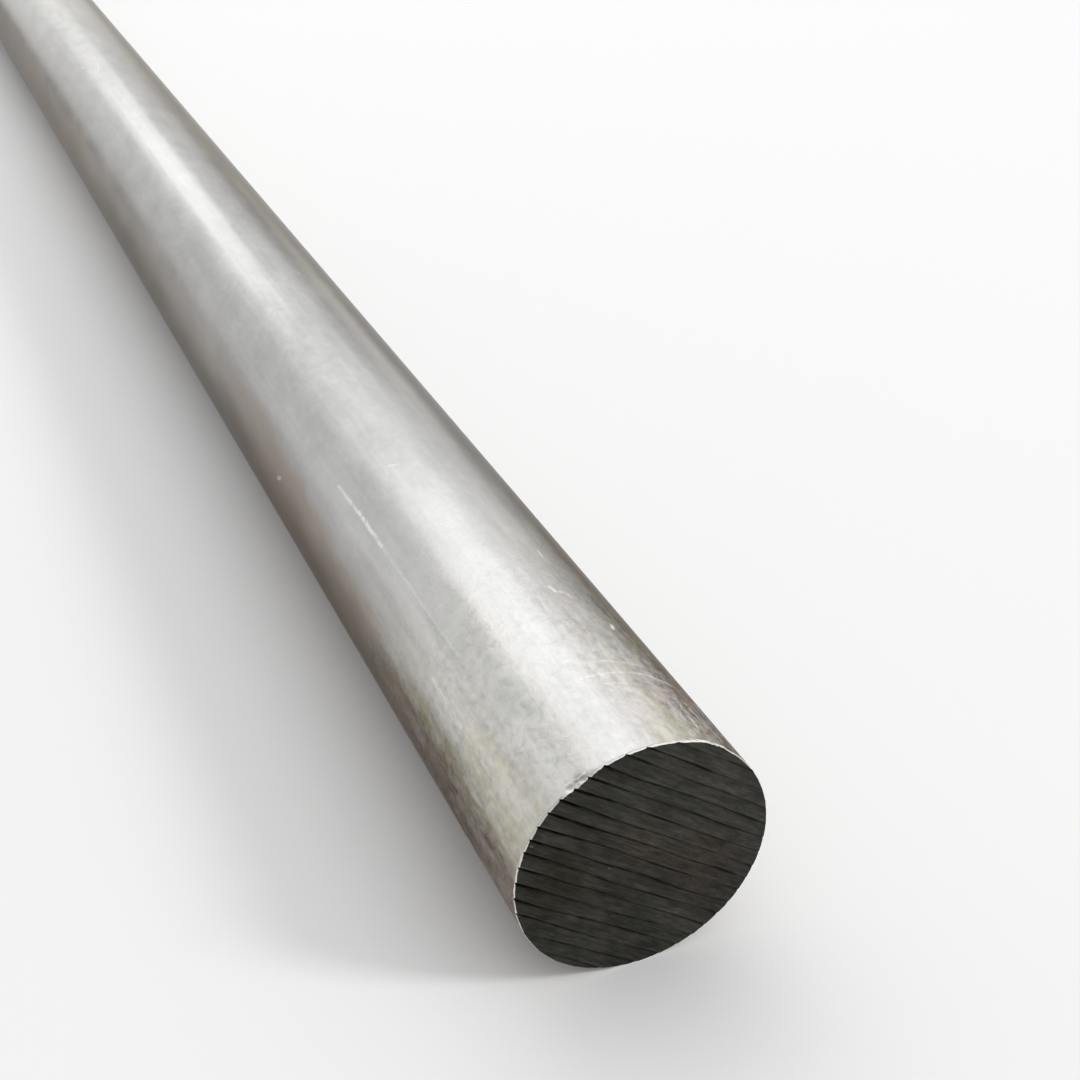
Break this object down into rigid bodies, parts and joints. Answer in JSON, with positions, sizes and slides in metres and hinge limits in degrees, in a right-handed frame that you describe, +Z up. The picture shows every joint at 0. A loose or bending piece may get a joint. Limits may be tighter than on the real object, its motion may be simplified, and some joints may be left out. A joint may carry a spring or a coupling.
{
  "type": "round metal bar",
  "caption": "Solid round bar of drawn steel with sawn ends, a length of raw stock that lies on its side.",
  "frame": {"origin": "on the floor below the middle of the bar", "axes": "+X along the bar towards its near sawn end, +Y across it, +Z up from the floor"},
  "size_m": [1, 0.05, 0.0498],
  "materials": {
    "drawn_steel": "satin drawn surface, dark sawn ends"
  },
  "bodies": {
    "root": {"bar": "drawn_steel"}
  },
  "joints": []
}
